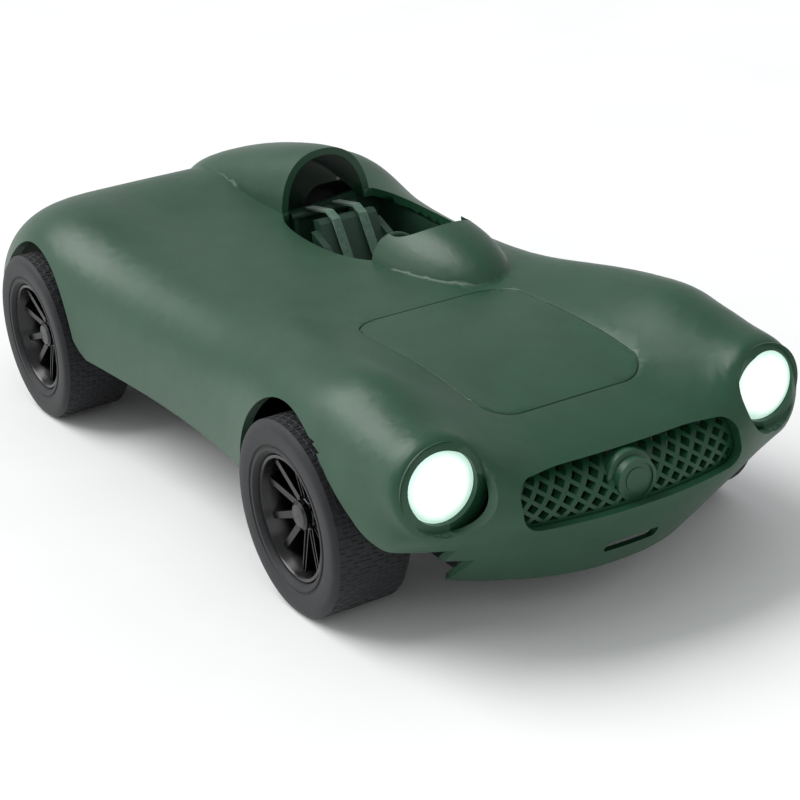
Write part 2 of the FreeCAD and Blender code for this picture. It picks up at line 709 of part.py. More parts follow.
def lamps():
    for hand, sign in hands:
        lampY = side(sign, "lampY")
        cup = rod(hand + "CupOut", "lensRadius - 0.1", 10, "lampX - 14.4", lampY, "lampZ", "x")
        bowl = doc.addObject("Part::Cone", hand + "CupBowl")
        bind(bowl, "Radius1", 2.2)
        bind(bowl, "Radius2", "lensRadius - 0.9")
        bind(bowl, "Height", 9.2)
        place(bowl, "lampX - 13.4", lampY, "lampZ", (0, 1, 0), 90)
        node(cut(hand + "Cup", cup, bowl), "headlight_reflector_" + hand)
        node(rod(hand + "Led", 2, 3, "lampX - 13.4", lampY, "lampZ", "x"), "headlight_led_" + hand)
        skirt = rod(hand + "LensSkirt", "lensRadius - 0.1", 2.2, "lampX - 4.3", lampY, "lampZ", "x")
        ball = doc.addObject("Part::Sphere", hand + "LensBall")
        bind(ball, "Radius", 18)
        place(ball, "lampX - 18.2", lampY, "lampZ")
        front = rod(hand + "LensFront", "lensRadius - 0.1", 4, "lampX - 2.2", lampY, "lampZ", "x")
        dome = common(hand + "LensDome", front, ball)
        node(joined(hand + "Lens", [skirt, dome]), "headlight_lens_" + hand)
        tailY = side(sign, "tailLampY")
        stem = rod(hand + "TailStem", "tailLampRadius", 4, "tailLampX", tailY, "tailLampZ", "x")
        node(stem, "tail_lamp_" + hand)


def chassis():
    """The tray: floor, low walls, raised sills, bosses, and the wells for the battery and the switch."""
    part = body("chassis")
    plan = sketchOn(part, "trayPlan", "XY_Plane", "trayZ")
    outline(plan, mirrored([("trayRear", "rearHalf - 8"), ("trayRear + 8", "rearHalf"), ("sillRear - 4", "rearHalf"),
                            ("sillRear", "sillHalf"), ("sillFront", "sillHalf"), ("sillFront + 4", "frontHalf"),
                            ("trayNose - 5", "frontHalf"), ("trayNose", "frontHalf - 6")]))
    pad(part, plan, "trayRim - trayZ")
    inside = sketchOn(part, "trayInside", "XY_Plane", "trayZ + floorThick")
    outline(inside, mirrored([("trayRear + 2", "rearHalf - 9"), ("trayRear + 9", "rearHalf - 2"),
                              ("sillRear - 3", "rearHalf - 2"), ("sillRear + 1", "sillHalf - 2"),
                              ("sillFront - 1", "sillHalf - 2"), ("sillFront + 3", "frontHalf - 2"),
                              ("trayNose - 6", "frontHalf - 2"), ("trayNose - 2", "frontHalf - 6.5")]))
    pocket(part, inside, "trayRim - trayZ", True)
    shelf = sketchOn(part, "noseShelf", "XY_Plane", "trayRim - 1")
    outline(shelf, mirrored([("trayNose - 12", "frontHalf - 1"), ("shelfNose - 7", "frontHalf - 1"),
                             ("shelfNose", "frontHalf - 13")]))
    pad(part, shelf, 3.5)
    for hand, sign in hands:
        sill = sketchOn(part, "sill" + hand, "YZ_Plane", "sillRear + 0.5")
        outline(sill, [(side(sign, "sillHalf - 1"), "trayRim - 3"), (side(sign, "sillOut"), "sillTop - 1"),
                       (side(sign, "sillOut"), "sillTop"), (side(sign, "sillOut - 1.6"), "sillTop"),
                       (side(sign, "sillHalf - 1"), "trayRim - 1")])
        pad(part, sill, "sillFront - sillRear - 1")
    battery = sketchOn(part, "batteryWell", "XY_Plane", "trayZ")
    outline(battery, rectangle(("batteryRear", "batteryFront"), ("batteryRight", "batteryLeft")))
    pocket(part, battery, 1.6, True)
    hatch = sketchOn(part, "batteryHatch", "XY_Plane", "trayZ")
    outline(hatch, rectangle(("batteryRear + 3", "batteryFront - 3"), ("batteryRight + 3", "batteryLeft - 3")))
    pocket(part, hatch, "floorThick", True)
    switchWell = sketchOn(part, "switchWell", "XY_Plane", "trayZ")
    outline(switchWell, rectangle(("switchX - 5", "switchX + 5"), ("switchY - 2", "switchY + 2")))
    pocket(part, switchWell, "floorThick", True)
    portWell = sketchOn(part, "portWell", "XY_Plane", "trayZ")
    outline(portWell, rectangle(("portX - 2", "portX + 2"), ("switchY - 4.6", "switchY + 4.6")))
    pocket(part, portWell, "floorThick", True)
    holes = sketchOn(part, "screwHoles", "XY_Plane", "trayZ")
    for x, y in screwPlaces:
        ring(holes, x, y, "screwHead + 0.1")
    pocket(part, holes, 1.2, True)
    shanks = sketchOn(part, "screwShanks", "XY_Plane", "trayZ")
    for x, y in screwPlaces:
        ring(shanks, x, y, "screwShank")
    pocket(part, shanks, 12, True)
    part.Tip = part.Group[-1]
    node(part, "chassis_tray")


def screws():
    """Four screws from below that hold the shell to the tray, kept as one node."""
    pieces = []
    for index, (x, y) in enumerate(screwPlaces):
        head = rod("screwHead%d" % index, "screwHead", 1.2, x, y, "trayZ")
        shank = rod("screwShank%d" % index, "screwShank", 9, x, y, "trayZ")
        slot = block("screwSlot%d" % index, (shifted(x, -1.7), shifted(x, 1.7)), (shifted(y, -0.35), shifted(y, 0.35)),
                     ("trayZ - 0.1", "trayZ + 0.5"))
        pieces.append(cut("screw%d" % index, joined("screwBlank%d" % index, [head, shank]), slot))
    gathered = doc.addObject("Part::Compound", "bodyScrews")
    gathered.Links = pieces
    node(gathered, "body_screws")


def shifted(text, extra):
    return "%s %s %s" % (text, "-" if extra < 0 else "+", abs(extra)) if isinstance(text, str) else text + extra


def battery():
    """Two cells in a sleeve, the door under them, and the door's screw."""
    cells = [rod("cell%d" % index, 7, 50, "batteryRear + 5", "batteryRight + %s" % shift, "trayZ + floorThick + 7", "x")
             for index, shift in enumerate((10.9, 25.1))]
    web = block("cellWeb", ("batteryRear + 8", "batteryRear + 52"), ("batteryRight + 13", "batteryRight + 23"),
                ("trayZ + floorThick + 2", "trayZ + floorThick + 12"))
    node(joined("cells", cells + [web]), "battery_pack")
    part = body("batteryDoor")
    plate = sketchOn(part, "doorPlate", "XY_Plane", "trayZ")
    outline(plate, rectangle(("batteryRear + 0.2", "batteryFront - 0.2"), ("batteryRight + 0.2", "batteryLeft - 0.2")))
    pad(part, plate, 1.6)
    grip = sketchOn(part, "doorGrip", "XY_Plane", "trayZ")
    for row in range(4):
        outline(grip, rectangle(("batteryFront - %s" % (16 + 3 * row), "batteryFront - %s" % (14.8 + 3 * row)),
                                ("batteryRight + 11", "batteryLeft - 11")))
    pocket(part, grip, 0.5, True)
    hole = sketchOn(part, "doorHole", "XY_Plane", "trayZ")
    ring(hole, "batteryFront - 6", "batteryRight + 18", "screwHead")
    pocket(part, hole, 1, True)
    node(part, "battery_door")
    node(rod("doorScrew", "screwHead", 0.9, "batteryFront - 6", "batteryRight + 18", "trayZ + 0.1"),
         "battery_door_screw")


def electronics():
    part = body("board")
    plate = sketchOn(part, "boardPlate", "XY_Plane", "boardZ")
    outline(plate, rectangle(("boardRear", "boardFront"), (-35, -6)))
    pad(part, plate, 1.2)
    chips = sketchOn(part, "boardChips", "XY_Plane", "boardZ + 1.2")
    outline(chips, rectangle(("boardRear + 5", "boardRear + 12"), (-30, -23)))
    outline(chips, rectangle(("boardRear + 16", "boardRear + 20"), (-20, -12)))
    ring(chips, "boardRear + 8", -13, 2.5)
    pad(part, chips, 1.4)
    legs = sketchOn(part, "boardLegs", "XY_Plane", "trayZ + floorThick")
    for x in ("boardRear + 2.5", "boardFront - 2.5"):
        for y in (-32.5, -8.5):
            ring(legs, x, y, 1.6)
    pad(part, legs, "boardZ - trayZ - floorThick")
    node(part, "circuit_board")
    case = block("switchBlock", ("switchX - 6", "switchX + 6"), ("switchY - 3.5", "switchY + 3.5"),
                 ("trayZ + floorThick", "trayZ + floorThick + 5"))
    slot = block("switchSlot", ("switchX - 4.2", "switchX + 4.2"), ("switchY - 1.4", "switchY + 1.4"),
                 ("trayZ + floorThick - 1", "trayZ + floorThick + 2.6"))
    node(cut("switchCase", case, slot), "power_switch_case")
    foot = block("sliderFoot", ("switchX - 3.6", "switchX + 0.6"), ("switchY - 1.2", "switchY + 1.2"),
                 ("trayZ + floorThick + 0.2", "trayZ + floorThick + 2.4"))
    knob = block("sliderKnob", ("switchX - 2.6", "switchX - 0.4"), ("switchY - 1.2", "switchY + 1.2"),
                 ("trayZ + 0.4", "trayZ + floorThick + 0.2"))
    node(joined("slider", [foot, knob]), "power_switch_slider")
    port = block("portBlock", ("portX - 1.8", "portX + 1.8"), ("switchY - 4.5", "switchY + 4.5"),
                 ("trayZ + 0.1", "trayZ + floorThick + 5"))
    mouth = block("portMouth", ("portX - 1.2", "portX + 1.2"), ("switchY - 3.9", "switchY + 3.9"),
                  ("trayZ - 1", "trayZ + 6"))
    tongue = block("portTongue", ("portX - 0.35", "portX + 0.35"), ("switchY - 3", "switchY + 3"),
                   ("trayZ + 1", "trayZ + 6"))
    node(joined("port", [cut("portShell", port, mouth), tongue]), "charge_port")


def cabin(inside):
    """Everything that shows through the seat opening."""
    middle, half, wall = amount("seatY"), amount("tubHalf"), amount("tubWall")
    rear, front, floor = amount("tubRear"), amount("tubFront"), amount("tubFloor")
    outer = spanBox((rear, front), (middle - half, middle + half), (floor, 60)).common(inside)
    room = spanBox((rear + wall, front - wall), (middle - half + wall, middle + half - wall), (floor + wall, 70))
    shape("cockpitTub", outer.cut(room), "cockpit_tub")
    seat()
    dashboard(inside)
    wheelRim = doc.addObject("Part::Torus", "driverWheelRim")
    bind(wheelRim, "Radius1", "driverWheel")
    bind(wheelRim, "Radius2", 0.9)
    place(wheelRim, "driverWheelX", "seatY", "driverWheelZ", (0, 1, 0), 68)
    spokes = []
    for index, angle in enumerate((0, 120, 240)):
        spoke = doc.addObject("Part::Box", "driverSpoke%d" % index)
        bind(spoke, "Length", "driverWheel")
        bind(spoke, "Width", 1.4)
        bind(spoke, "Height", 0.8)
        turn = FreeCAD.Rotation(vector(0, 1, 0), 68).multiply(FreeCAD.Rotation(vector(0, 0, 1), angle))
        place(spoke, "driverWheelX", "seatY", "driverWheelZ", turn.Axis, math.degrees(turn.Angle))
        spokes.append(spoke)
    hub = doc.addObject("Part::Cylinder", "driverHub")
    bind(hub, "Radius", 1.8)
    bind(hub, "Height", 2)
    place(hub, "driverWheelX - 0.8", "seatY", "driverWheelZ - 0.2", (0, 1, 0), 68)
    column = doc.addObject("Part::Cylinder", "driverColumn")
    bind(column, "Radius", 0.9)
    bind(column, "Height", 11.2)
    place(column, "driverWheelX", "seatY", "driverWheelZ", (0, 1, 0), 98)
    node(joined("driverWheelWhole", [wheelRim, hub, column] + spokes), "steering_wheel")
    stick = rod("stickRod", 0.7, 12, -12, "seatY + 15", "tubFloor + tubWall")
    ball = doc.addObject("Part::Sphere", "stickBall")
    bind(ball, "Radius", 1.7)
    place(ball, -12, "seatY + 15", "tubFloor + tubWall + 12.6")
    boot = doc.addObject("Part::Cone", "stickBoot")
    bind(boot, "Radius1", 3)
    bind(boot, "Radius2", 1.2)
    bind(boot, "Height", 3)
    place(boot, -12, "seatY + 15", "tubFloor + tubWall")
    node(joined("stick", [stick, ball, boot]), "gear_lever")
    bar = rod("barAcross", 1.2, 21, "archX - 3.5", "seatY - 10.5", 50, "y")
    posts = [rod("barPost%d" % index, 1, "50 - tubFloor - tubWall", "archX - 3.5", "seatY %s" % shift,
                 "tubFloor + tubWall") for index, shift in enumerate(("- 9", "+ 9"))]
    node(joined("harnessBar", [bar] + posts), "harness_bar")
    belts = []
    for index, shift in enumerate((-5.5, 3)):
        lane = middle + shift
        start = amount("archX") - 3.5
        strap = [vector(start, lane, 51.3), vector(start, lane, 51.9), vector(-38, lane, 53.6),
                 vector(-34.2, lane, 52), vector(-25.5, lane, 37.4), vector(-26.1, lane, 37.2),
                 vector(-34.8, lane, 51.6), vector(-38, lane, 53), vector(start, lane, 51.3)]
        belts.append(prism(polygonEdges(strap), vector(0, 2.5, 0)))
    shape("belts", Part.makeCompound(belts), "seat_belts")


def seat():
    """A bucket seat: cushion, tall back and side bolsters."""
    part = body("seat")
    profile = sketchOn(part, "seatProfile", "XZ_Plane", "-1*seatY - 9")
    outline(profile, [("seatX", "tubFloor + tubWall"), ("seatX + 24", "tubFloor + tubWall"),
                      ("seatX + 25", "tubFloor + tubWall + 6"), ("seatX + 23", "tubFloor + tubWall + 8"),
                      ("seatX + 7", "tubFloor + tubWall + 6"), ("seatX - 1", "seatTop - 1"),
                      ("seatX - 2.5", "seatTop"), ("seatX - 5", "seatTop - 0.5")])
    pad(part, profile, 18)
    for hand, low in (("Left", "-1*seatY - 11"), ("Right", "-1*seatY + 9")):
        bolster = sketchOn(part, "bolster" + hand, "XZ_Plane", low)
        outline(bolster, [("seatX", "tubFloor + tubWall"), ("seatX + 22", "tubFloor + tubWall"),
                          ("seatX + 23", "tubFloor + tubWall + 9"), ("seatX + 12", "tubFloor + tubWall + 10.5"),
                          ("seatX + 4", "seatTop - 6"), ("seatX - 3", "seatTop - 3")])
        pad(part, bolster, 2)
    node(part, "seat")


def dashboard(inside):
    """The cowl's inner panel with two dials, trimmed to the skin and bored for the steering column."""
    part = body("dash")
    profile = sketchOn(part, "dashProfile", "XZ_Plane", "-1*seatY - tubHalf + tubWall + 0.5")
    outline(profile, [("tubFront - tubWall", 40), ("tubFront - tubWall", 49.4), ("tubFront - 6", 49.8),
                      ("tubFront - 8", 48.4), ("tubFront - 6", 42)])
    pad(part, profile, "2*tubHalf - 2*tubWall - 1")
    dials = sketchOn(part, "dials", "YZ_Plane", "tubFront - 10")
    for shift in ("- 4", "+ 4"):
        ring(dials, "seatY " + shift, 46, 2)
    pad(part, dials, 5)
    doc.recompute()
    column = Part.makeCylinder(0.92, 14, vector(amount("driverWheelX"), amount("seatY"), amount("driverWheelZ")),
                               vector(math.sin(math.radians(98)), 0, math.cos(math.radians(98))))
    shape("dashTrimmed", part.Shape.common(inside).cut(column), "dashboard")


def steeringGear():
    """The front beam, its kingpins and knuckles, the tie rod and the servo that pushes it."""
    part = body("beam")
    for name, low in (("beamLow", "trayRim"), ("beamHigh", "axleZ + 5.6")):
        plate = sketchOn(part, name, "XY_Plane", low)
        outline(plate, mirrored([("frontAxleX - 5", "kingpinY - 3"), ("frontAxleX - 2.5", "kingpinY + 2.6"),
                                 ("frontAxleX + 2.5", "kingpinY + 2.6"), ("frontAxleX + 5", "kingpinY - 3")]))
        pad(part, plate, 2.4)
    posts = sketchOn(part, "beamPosts", "XY_Plane", "trayRim")
    outline(posts, rectangle(("frontAxleX - 4", "frontAxleX + 4"), ("kingpinY - 9", "kingpinY - 5")))
    outline(posts, rectangle(("frontAxleX - 4", "frontAxleX + 4"), ("-1*kingpinY + 5", "-1*kingpinY + 9")))
    pad(part, posts, "axleZ + 5.6 - trayRim")
    holes = sketchOn(part, "beamHoles", "XY_Plane", "trayRim")
    ring(holes, "frontAxleX", "kingpinY", "kingpinRadius")
    ring(holes, "frontAxleX", "-1*kingpinY", "kingpinRadius")
    pocket(part, holes, 20, True)
    node(part, "front_axle_beam")
    for hand, sign in hands:
        pinY = side(sign, "kingpinY")
        shaft = rod(hand + "PinShaft", "kingpinRadius", "axleZ + 8 - trayRim", "frontAxleX", pinY, "trayRim")
        head = rod(hand + "PinHead", "kingpinRadius + 0.9", 1, "frontAxleX", pinY, "axleZ + 8")
        node(joined(hand + "Kingpin", [shaft, head]), "kingpin_" + hand)
        knuckle(hand, sign)
    link = body("link")
    plan = sketchOn(link, "linkPlan", "XY_Plane", "axleZ - 1.2")
    outline(plan, mirrored([("frontAxleX - steerArm - 3", "kingpinY + 2.4"),
                            ("frontAxleX - steerArm + 3", "kingpinY + 2.4")]))
    pad(link, plan, 2)
    slots = sketchOn(link, "linkSlots", "XY_Plane", "axleZ - 1.2")
    reach = "linkPin + linkGap"
    for centre in ("kingpinY", "-1*kingpinY", "0*kingpinY"):
        outline(slots, rectangle(("frontAxleX - steerArm - 1.9", "frontAxleX - steerArm + 1.9"),
                                 (centre + " - linkPin - linkGap", centre + " + " + reach)))
    pocket(link, slots, 2, True)
    node(link, "tie_rod")
    case = block("servoBlock", ("servoX - 13", "servoX + 5"), (-9, 9), ("trayZ + floorThick", "axleZ + 0.6"))
    ears = block("servoEars", ("servoX - 16", "servoX + 6.5"), (-4, 4), ("axleZ - 6", "axleZ - 4"))
    node(joined("servo", [case, ears]), "servo_case")
    hornPart = body("horn")
    arm = sketchOn(hornPart, "hornArm", "XY_Plane", "axleZ + 1")
    outline(arm, [("servoX - 3", -3), ("servoX + 2", -3.4), ("frontAxleX - steerArm + 1.6", -1.7),
                  ("frontAxleX - steerArm + 1.6", 1.7), ("servoX + 2", 3.4), ("servoX - 3", 3)])
    pad(hornPart, arm, 2)
    drop = sketchOn(hornPart, "hornPin", "XY_Plane", "axleZ - 1.6")
    ring(drop, "frontAxleX - steerArm", 0, "linkPin")
    pad(hornPart, drop, 2.8)
    hub = sketchOn(hornPart, "hornHub", "XY_Plane", "axleZ + 1")
    ring(hub, "servoX", 0, 2.8)
    pad(hornPart, hub, 2.9)
    node(hornPart, "servo_horn")


def knuckle(hand, sign):
    """A steering knuckle: barrel on the kingpin, stub axle outward, arm and pin rearward."""
    pinY = side(sign, "kingpinY")
    turned = ((1, 0, 0), -90 * sign)
    barrel = rod(hand + "Barrel", "knuckleRadius", "axleZ + 5.4 - trayRim - 2.6", "frontAxleX", pinY,
                 "trayRim + 2.6")
    shoulder = place(doc.addObject("Part::Cylinder", hand + "Shoulder"), "frontAxleX", pinY, "axleZ", *turned)
    bind(shoulder, "Radius", "axleRadius + 1.3")
    bind(shoulder, "Height", "wheelY - hubIn - kingpinY - 0.2")
    stub = place(doc.addObject("Part::Cylinder", hand + "Stub"), "frontAxleX", pinY, "axleZ", *turned)
    bind(stub, "Radius", "axleRadius")
    bind(stub, "Height", "wheelY + hubOut - kingpinY - 0.4")
    arm = block(hand + "Arm", ("frontAxleX - steerArm - 2", "frontAxleX"),
                ("kingpinY - 2", "kingpinY + 2") if sign > 0 else ("-1*kingpinY - 2", "-1*kingpinY + 2"),
                ("trayRim + 2.8", "axleZ - 1.6"))
    link = rod(hand + "LinkPin", "linkPin", "3.6", "frontAxleX - steerArm", pinY, "axleZ - 2")
    bore = rod(hand + "Bore", "kingpinRadius + runFit", 30, "frontAxleX", pinY, "axleZ - 15")
    solid = joined(hand + "KnuckleBlank", [barrel, shoulder, stub, arm, link])
    node(cut(hand + "Knuckle", solid, bore), "knuckle_" + hand)


def gearOutline(teeth, module, phase):
    """Points of a straight-flanked spur gear with working clearance at tip and flank."""
    pitch = teeth * module / 2
    root, tip = pitch - 1.25 * module, pitch + 0.85 * module
    points = []
    for tooth in range(teeth):
        middle = 2 * math.pi * (tooth + phase) / teeth
        for radius, share in ((root, -0.30), (pitch, -0.205), (tip, -0.10), (tip, 0.10), (pitch, 0.205), (root, 0.30)):
            angle = middle + 2 * math.pi * share / teeth
            points.append((radius * math.cos(angle), radius * math.sin(angle)))
    return points


def gearSolid(teeth, module, phase, x, z, low, high, bore):
    """A gear about an axis along Y, with the bore cut through."""
    corners = [vector(x + px, low, z + pz) for px, pz in gearOutline(teeth, module, phase)]
    solid = prism(polygonEdges(corners + corners[:1]), vector(0, high - low, 0))
    if bore:
        solid = solid.cut(Part.makeCylinder(bore, high - low, vector(x, low, z), vector(0, 1, 0)))
    return solid


def driveTrain():
    """Motor, two reduction steps, the rear axle and the plates that carry them."""
    axleX, axleZ, axleRadius = amount("rearAxleX"), amount("axleZ"), amount("axleRadius")
    coarse, fine, gearY = amount("coarseModule"), amount("fineModule"), amount("gearY")
    axleTeeth, smallTeeth = int(amount("axleTeeth")), int(amount("idlerSmallTeeth"))
    bigTeeth, pinionTeeth = int(amount("idlerBigTeeth")), int(amount("pinionTeeth"))
    first = (axleTeeth + smallTeeth) * coarse / 2 + 0.12
    second = (bigTeeth + pinionTeeth) * fine / 2 + 0.12
    rise = math.radians(20)
    idlerX, idlerZ = axleX + first * math.cos(rise), axleZ + first * math.sin(rise)
    motorX, motorZ = idlerX + second * math.cos(rise), idlerZ - second * math.sin(rise)
    turns = 2 * math.pi
    node(rod("axleShaft", "axleRadius", "2*wheelY + 2*hubOut - 0.8", "rearAxleX", "-1*wheelY - hubOut + 0.4",
             "axleZ", "y"), "rear_axle_shaft")
    gear = gearSolid(axleTeeth, coarse, rise / turns * axleTeeth, axleX, axleZ, gearY - 2, gearY + 2, axleRadius)
    shape("axleGear", gear, "axle_gear")
    small = gearSolid(smallTeeth, coarse, (rise + math.pi) / turns * smallTeeth + 0.5, idlerX, idlerZ,
                      gearY - 1.8, gearY + 2.6, 0)
    big = gearSolid(bigTeeth, fine, -rise / turns * bigTeeth, idlerX, idlerZ, gearY + 2.6, gearY + 4.6, 0)
    shaft = Part.makeCylinder(1, 13.6, vector(idlerX, gearY - 5, idlerZ), vector(0, 1, 0))
    shape("idlerGear", small.fuse([big, shaft]), "idler_gear")
    pinion = gearSolid(pinionTeeth, fine, (math.pi - rise) / turns * pinionTeeth + 0.5, motorX, motorZ,
                       gearY + 2.4, gearY + 4.8, 0)
    shaft = Part.makeCylinder(0.9, gearY + 2.4 + 15, vector(motorX, -15, motorZ), vector(0, 1, 0))
    shape("motorPinion", pinion.fuse(shaft), "motor_pinion")
    can = Part.makeCylinder(amount("motorRadius"), amount("motorLong"), vector(motorX, -38.5, motorZ), vector(0, 1, 0))
    can = can.common(spanBox((motorX - 9, motorX + 9), (-40, 0), (motorZ - 6.4, motorZ + 6.4)))
    nose = Part.makeCylinder(2.2, 1.2, vector(motorX, -13.5, motorZ), vector(0, 1, 0))
    hole = Part.makeCylinder(1, 4, vector(motorX, -15.2, motorZ), vector(0, 1, 0))
    shape("motor", can.fuse(nose).cut(hole), "drive_motor")
    floor = amount("trayZ") + amount("floorThick")
    for label, low, high in (("right", -13.4, -11.6), ("left", -0.4, 1.4)):
        plate = spanBox((axleX - 6, motorX + 8), (low, high), (floor, 34))
        holes = [Part.makeCylinder(axleRadius + 0.05, 4, vector(axleX, low - 1, axleZ), vector(0, 1, 0)),
                 Part.makeCylinder(1.05, 4, vector(idlerX, low - 1, idlerZ), vector(0, 1, 0)),
                 Part.makeCylinder(2.25, 4, vector(motorX, low - 1, motorZ), vector(0, 1, 0))]
        foot = spanBox((axleX - 6, axleX + 4), (low, high + 3) if low > -2 else (low - 3, high), (floor, floor + 2))
        shape("plate" + label, plate.fuse(foot).cut(holes), "gearbox_plate_" + label)
    for hand, sign in hands:
        low = 26 if sign > 0 else -30
        carrier = spanBox((axleX - 4.5, axleX + 4.5), (low, low + 4), (floor, axleZ + 4.5))
        hole = Part.makeCylinder(axleRadius + 0.05, 6, vector(axleX, low - 1, axleZ), vector(0, 1, 0))
        shape("carrier" + hand, carrier.cut(hole), "axle_carrier_" + hand)


outerVolume = volume(0)
innerVolume = volume(amount("wall"))
shape("bodyShell", bodyShell(outerVolume, innerVolume), "body_shell")
rearValance(outerVolume)
grilleMesh()
badge()
lamps()
chassis()
screws()
battery()
electronics()
cabin(volume(amount("wall") + 0.15))
steeringGear()
driveTrain()

# ---------------------------------------------------------------- writing


def finish():
    doc.recompute()
    failed = [item.Name for item in doc.Objects if "Invalid" in item.State or "Error" in item.State]
    if failed:
        raise ValueError("failed: " + ", ".join(failed))
    for item in made:
        if item.Shape.isNull() or not item.Shape.isValid():
            raise ValueError(item.Label + " has no valid shape")
    os.makedirs("parts", exist_ok=True)
    for item in made:
        item.Shape.exportStep(os.path.join("parts", item.Label + ".step"))
        print("%-24s %9.1f mm3" % (item.Label, item.Shape.Volume))


finish()
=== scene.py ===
import json
import math

import bmesh
import bpy
from mathutils import Matrix, Vector
from mathutils.bvhtree import BVHTree


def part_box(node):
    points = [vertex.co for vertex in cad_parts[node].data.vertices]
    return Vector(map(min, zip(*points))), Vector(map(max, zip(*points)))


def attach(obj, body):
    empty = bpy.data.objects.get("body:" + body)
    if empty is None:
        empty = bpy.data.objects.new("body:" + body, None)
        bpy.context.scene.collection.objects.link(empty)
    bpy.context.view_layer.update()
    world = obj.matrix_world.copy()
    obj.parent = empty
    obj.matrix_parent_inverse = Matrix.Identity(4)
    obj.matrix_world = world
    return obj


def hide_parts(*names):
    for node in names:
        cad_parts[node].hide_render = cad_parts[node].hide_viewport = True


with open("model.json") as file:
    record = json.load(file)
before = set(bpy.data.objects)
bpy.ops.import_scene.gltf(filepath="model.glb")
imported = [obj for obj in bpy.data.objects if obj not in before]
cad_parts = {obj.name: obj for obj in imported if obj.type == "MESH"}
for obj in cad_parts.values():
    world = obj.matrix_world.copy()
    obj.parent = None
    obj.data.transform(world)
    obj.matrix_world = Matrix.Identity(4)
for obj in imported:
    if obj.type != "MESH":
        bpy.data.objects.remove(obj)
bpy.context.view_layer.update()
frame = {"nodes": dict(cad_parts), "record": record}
mm = 0.001
record = frame["record"]
nodes = frame["nodes"]
print("frame loaded:", len(nodes), "nodes")


def toLinear(hexCode):
    # an sRGB hex value as linear red, green, blue and alpha
    channels = [int(hexCode[i:i + 2], 16) / 255 for i in (1, 3, 5)]
    linear = [c / 12.92 if c <= 0.04045 else ((c + 0.055) / 1.055) ** 2.4 for c in channels]
    return (*linear, 1.0)


def addNode(tree, kind, settings=None, links=None):
    # settings and links are keyed by property name, socket name or socket number
    item = tree.nodes.new(kind)
    for key, value in (settings or {}).items():
        if isinstance(key, str) and hasattr(item, key):
            setattr(item, key, value)
        else:
            item.inputs[key].default_value = value
    for key, source in (links or {}).items():
        tree.links.new(source, item.inputs[key])
    return item


def newMaterial(name, settings):
    material = bpy.data.materials.new(name)
    material.use_nodes = True
    shader = material.node_tree.nodes["Principled BSDF"]
    for key, value in settings.items():
        shader.inputs[key].default_value = value
    return material, material.node_tree, shader


def mottle(tree, shader, dark, light, spacing, detail=3.0):
    # a slight drift between two close colours, spacing apart
    place = addNode(tree, "ShaderNodeTexCoord")
    drift = addNode(tree, "ShaderNodeTexNoise", {"Scale": 1 / spacing, "Detail": detail},
                    {"Vector": place.outputs["Object"]})
    ramp = addNode(tree, "ShaderNodeValToRGB", {}, {"Fac": drift.outputs["Fac"]})
    ramp.color_ramp.elements[0].position = 0.35
    ramp.color_ramp.elements[1].position = 0.65
    ramp.color_ramp.elements[0].color = toLinear(dark)
    ramp.color_ramp.elements[1].color = toLinear(light)
    tree.links.new(ramp.outputs["Color"], shader.inputs["Base Color"])
    return place


def grain(tree, shader, place, spacing, height, detail=2.0):
    # moulded or ground texture of that spacing, as a bump
    fine = addNode(tree, "ShaderNodeTexNoise", {"Scale": 1 / spacing, "Detail": detail},
                   {"Vector": place.outputs["Object"]})
    bump = addNode(tree, "ShaderNodeBump", {"Strength": 0.5, "Distance": height},
                   {"Height": fine.outputs["Fac"]})
    tree.links.new(bump.outputs["Normal"], shader.inputs["Normal"])
    return fine


def softRoughness(tree, shader, source, low, high):
    # roughness that follows a pattern between two values
    spread = addNode(tree, "ShaderNodeMapRange", {"To Min": low, "To Max": high}, {"Value": source})
    tree.links.new(spread.outputs["Result"], shader.inputs["Roughness"])


def shellPaint():
    # soft-touch lacquer sprayed on ABS: satin green with faint orange peel, so highlights spread wide
    material, tree, shader = newMaterial("softTouchGreen", {
        "Roughness": 0.42, "IOR": 1.46})
    place = mottle(tree, shader, "#19422C", "#1C4730", 9 * mm)
    peel = grain(tree, shader, place, 0.9 * mm, 0.02 * mm)
    softRoughness(tree, shader, peel.outputs["Fac"], 0.37, 0.44)
    return material


def cabinPlastic():
    # the same green moulded in ABS without lacquer: duller and darker, with a fine spark-eroded grain
    material, tree, shader = newMaterial("mouldedGreen", {"IOR": 1.53})
    place = mottle(tree, shader, "#17382A", "#1B402F", 6 * mm)
    fine = grain(tree, shader, place, 0.35 * mm, 0.03 * mm)
    softRoughness(tree, shader, fine.outputs["Fac"], 0.5, 0.62)
    return material


def tyreRubber():
    # thermoplastic rubber: bluish black, dull, with a dusty bloom on the tread and side wall
    material, tree, shader = newMaterial("tyreRubber", {
        "IOR": 1.5, "Sheen Weight": 0.04, "Sheen Roughness": 0.5})
    place = mottle(tree, shader, "#0D0E11", "#14161A", 3 * mm, 6.0)
    fine = grain(tree, shader, place, 0.25 * mm, 0.05 * mm, 4.0)
    softRoughness(tree, shader, fine.outputs["Fac"], 0.58, 0.74)
    return material


def rimBlack():
    # gloss black ABS from a polished mould, with faint swirls that break up its reflections
    material, tree, shader = newMaterial("glossBlack", {"IOR": 1.5})
    place = mottle(tree, shader, "#020203", "#060607", 4 * mm)
    swirl = grain(tree, shader, place, 1.5 * mm, 0.01 * mm)
    softRoughness(tree, shader, swirl.outputs["Fac"], 0.2, 0.3)
    return material


def trayBlack():
    # textured black ABS for the hidden tray and brackets
    material, tree, shader = newMaterial("texturedBlack", {"IOR": 1.53})
    place = mottle(tree, shader, "#141517", "#1A1B1E", 5 * mm)
    fine = grain(tree, shader, place, 0.3 * mm, 0.05 * mm)
    softRoughness(tree, shader, fine.outputs["Fac"], 0.5, 0.66)
    return material


